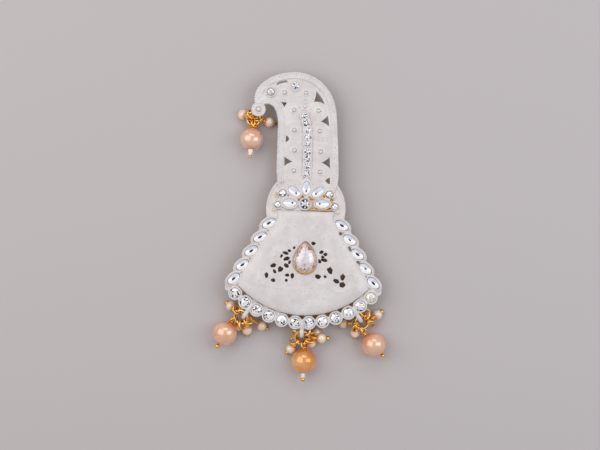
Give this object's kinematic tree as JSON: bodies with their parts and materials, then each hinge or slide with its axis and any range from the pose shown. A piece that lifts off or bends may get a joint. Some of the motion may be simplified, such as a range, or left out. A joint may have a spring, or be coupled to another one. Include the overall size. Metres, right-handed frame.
{
  "type": "turban brooch",
  "caption": "White-enamelled turban brooch: curled plume over a stone-set fan, with pearl drops on jump rings and a pin behind.",
  "frame": {"origin": "under the middle of the brooch's box, on the surface it lies on", "axes": "+X to the right and +Y from the fan to the plume as seen from above, +Z out of the enamelled face"},
  "size_m": [0.0644, 0.1144, 0.0101],
  "materials": {
    "enamel": "glossy white enamel over cast zinc alloy",
    "gold": "polished gold-plated",
    "crystal": "foil-backed cut glass",
    "champagne": "foil-backed cut glass, champagne",
    "peach_pearl": "pearl-coated, peach",
    "cream_pearl": "pearl-coated, cream"
  },
  "bodies": {
    "root": {"base_plate": "enamel", "fan_panel": "enamel", "pear_setting": "gold", "plume_stone_row": "crystal", "back_pin": "gold", "pear_stone": "champagne", "rim_stone_1": "crystal", "rim_stone_2": "crystal", "rim_stone_3": "crystal", "rim_stone_4": "crystal", "rim_stone_5": "crystal", "rim_stone_6": "crystal", "rim_stone_7": "crystal", "rim_stone_8": "crystal", "rim_stone_9": "crystal", "rim_stone_10": "crystal", "rim_stone_11": "crystal", "rim_stone_12": "crystal", "edge_stone_left_1": "crystal", "edge_stone_left_2": "crystal", "edge_stone_left_3": "crystal", "edge_stone_left_4": "crystal", "edge_stone_left_5": "crystal", "edge_stone_right_1": "crystal", "edge_stone_right_2": "crystal", "edge_stone_right_3": "crystal", "edge_stone_right_4": "crystal", "edge_stone_right_5": "crystal", "neck_petal_1": "crystal", "neck_petal_2": "crystal", "neck_petal_3": "crystal", "neck_petal_4": "crystal", "neck_petal_5": "crystal", "neck_centre_stone": "crystal", "neck_round_1": "crystal", "neck_round_2": "crystal", "neck_round_3": "crystal", "neck_round_4": "crystal", "jump_ring_hook": "gold", "jump_ring_left": "gold", "jump_ring_centre": "gold", "jump_ring_right": "gold", "pearl_drop_hook": "peach_pearl", "pearl_drop_left": "peach_pearl", "pearl_drop_centre": "peach_pearl", "pearl_drop_right": "peach_pearl", "small_pearl_hook_1": "cream_pearl", "small_pearl_hook_2": "cream_pearl", "small_pearl_left_1": "cream_pearl", "small_pearl_left_2": "cream_pearl", "small_pearl_left_3": "cream_pearl", "small_pearl_left_4": "cream_pearl", "small_pearl_centre_1": "cream_pearl", "small_pearl_centre_2": "cream_pearl", "small_pearl_centre_3": "cream_pearl", "small_pearl_centre_4": "cream_pearl", "small_pearl_right_1": "cream_pearl", "small_pearl_right_2": "cream_pearl", "small_pearl_right_3": "cream_pearl", "small_pearl_right_4": "cream_pearl"}
  },
  "joints": []
}
